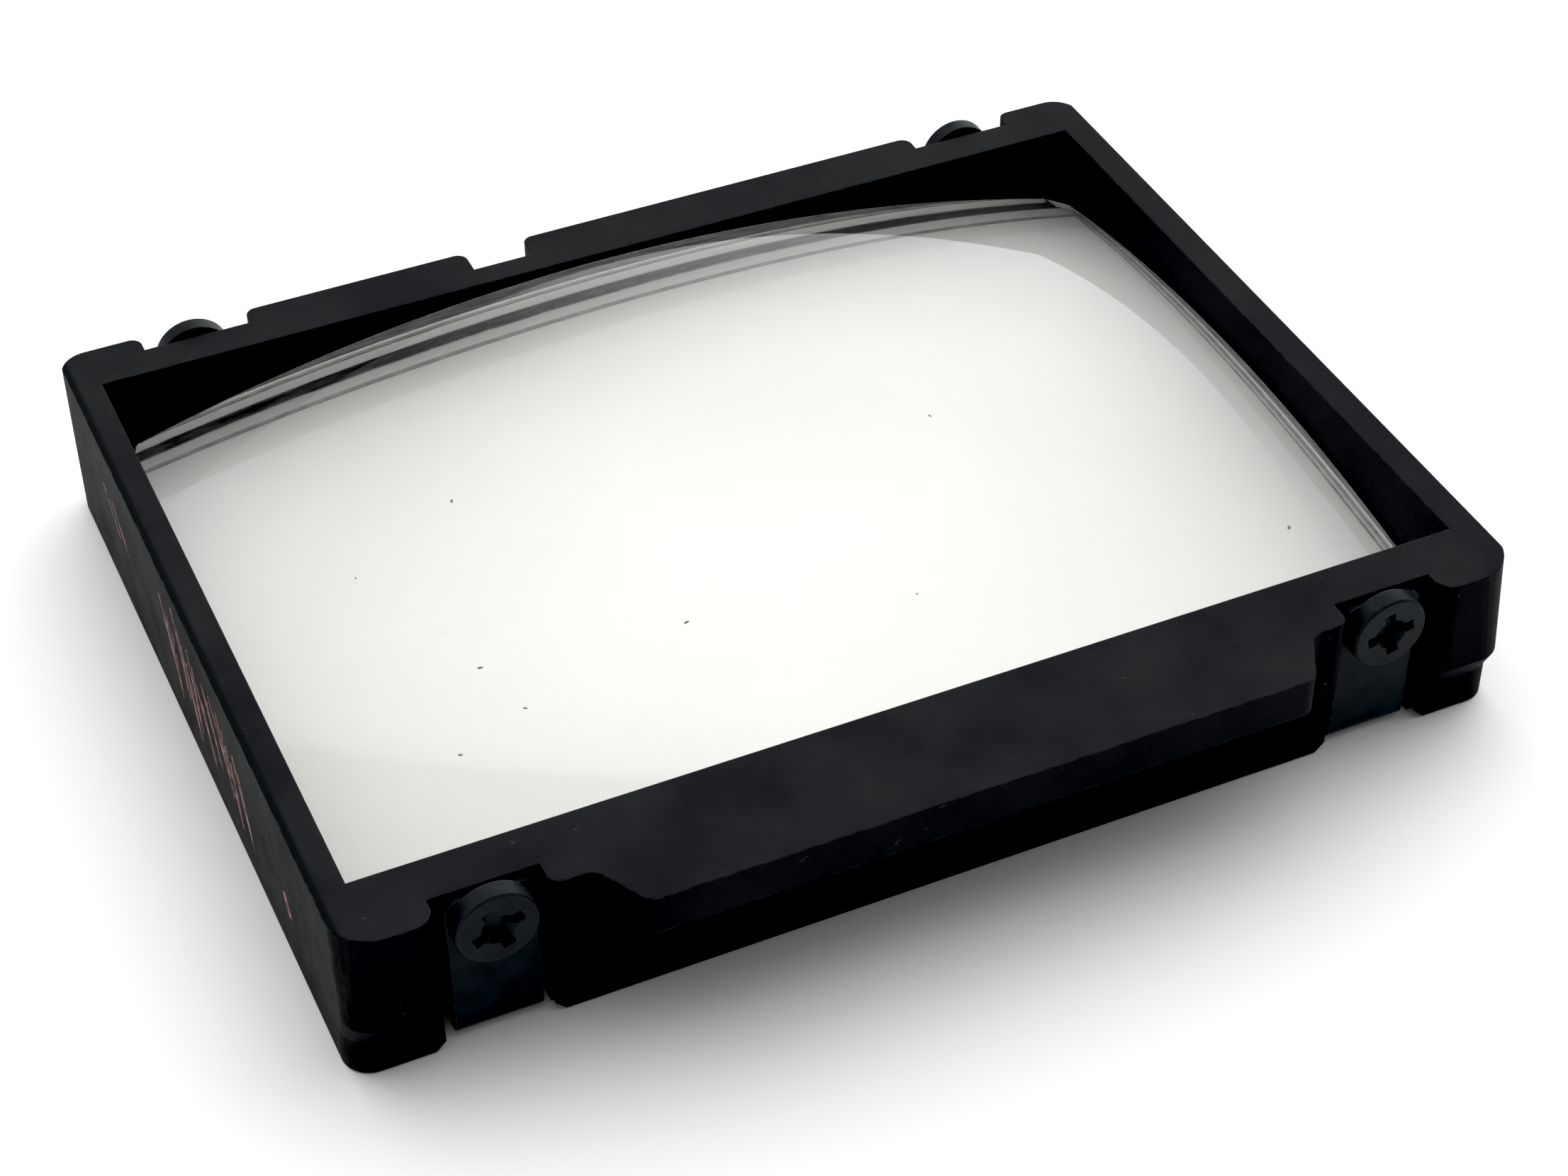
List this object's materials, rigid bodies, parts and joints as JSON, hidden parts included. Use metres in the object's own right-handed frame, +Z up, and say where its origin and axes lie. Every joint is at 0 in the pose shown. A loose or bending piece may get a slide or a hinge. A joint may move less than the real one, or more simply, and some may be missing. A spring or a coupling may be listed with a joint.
{
  "type": "camera focusing screen",
  "caption": "Drop-in focusing screen unit: a black rectangular frame with a domed field lens over a ground glass, held in by screwed leaf clips.",
  "frame": {"origin": "on the optical axis (the middle of the window), in the plane of the frame's foot", "axes": "+X along the window's long side, +Y towards the edge with the locating tabs, away from the finger lip, +Z up, the side that the dome faces"},
  "size_m": [0.0594, 0.0488, 0.0104],
  "materials": {
    "frame_black": "satin black with a fine grain",
    "field_lens": "polished clear",
    "mask_black": "matt black",
    "grooved_plate": "clear with fine ring grooves",
    "ground_glass": "frosted white",
    "clip_black": "blackened spring steel",
    "screw_black": "blackened steel, slightly worn"
  },
  "bodies": {
    "frame": {"main_frame": "frame_black", "field_lens": "field_lens", "mask_spacer": "mask_black", "grooved_plate": "grooved_plate", "ground_glass": "ground_glass"},
    "front_left_clip": {"front_left_clip": "clip_black"},
    "front_left_screw": {"front_left_screw": "screw_black"},
    "front_right_clip": {"front_right_clip": "clip_black"},
    "front_right_screw": {"front_right_screw": "screw_black"},
    "back_left_clip": {"back_left_clip": "clip_black"},
    "back_left_screw": {"back_left_screw": "screw_black"},
    "back_right_clip": {"back_right_clip": "clip_black"},
    "back_right_screw": {"back_right_screw": "screw_black"}
  },
  "joints": [
    {"name": "front_left_clip_release", "type": "slide", "parent": "frame", "child": "front_left_clip", "axis": [0, -1, 0], "range_m": [0, 0.0008]},
    {"name": "front_left_screw_turn", "type": "hinge", "parent": "front_left_clip", "child": "front_left_screw", "pos_m": [-0.0225, -0.0224, 0.0071], "axis": [0, -1, 0], "range_deg": [0, 720]},
    {"name": "front_right_clip_release", "type": "slide", "parent": "frame", "child": "front_right_clip", "axis": [0, -1, 0], "range_m": [0, 0.0008]},
    {"name": "front_right_screw_turn", "type": "hinge", "parent": "front_right_clip", "child": "front_right_screw", "pos_m": [0.0225, -0.0224, 0.0071], "axis": [0, -1, 0], "range_deg": [0, 720]},
    {"name": "back_left_clip_release", "type": "slide", "parent": "frame", "child": "back_left_clip", "axis": [0, 1, 0], "range_m": [0, 0.0008]},
    {"name": "back_left_screw_turn", "type": "hinge", "parent": "back_left_clip", "child": "back_left_screw", "pos_m": [-0.0225, 0.02195, 0.0071], "axis": [0, 1, 0], "range_deg": [0, 720]},
    {"name": "back_right_clip_release", "type": "slide", "parent": "frame", "child": "back_right_clip", "axis": [0, 1, 0], "range_m": [0, 0.0008]},
    {"name": "back_right_screw_turn", "type": "hinge", "parent": "back_right_clip", "child": "back_right_screw", "pos_m": [0.0225, 0.02195, 0.0071], "axis": [0, 1, 0], "range_deg": [0, 720]}
  ],
  "couplings": [
    {"joint": "front_left_screw_turn", "follows": "front_left_clip_release", "rad_per_m": 15708},
    {"joint": "front_right_screw_turn", "follows": "front_right_clip_release", "rad_per_m": 15708},
    {"joint": "back_left_screw_turn", "follows": "back_left_clip_release", "rad_per_m": 15708},
    {"joint": "back_right_screw_turn", "follows": "back_right_clip_release", "rad_per_m": 15708}
  ]
}
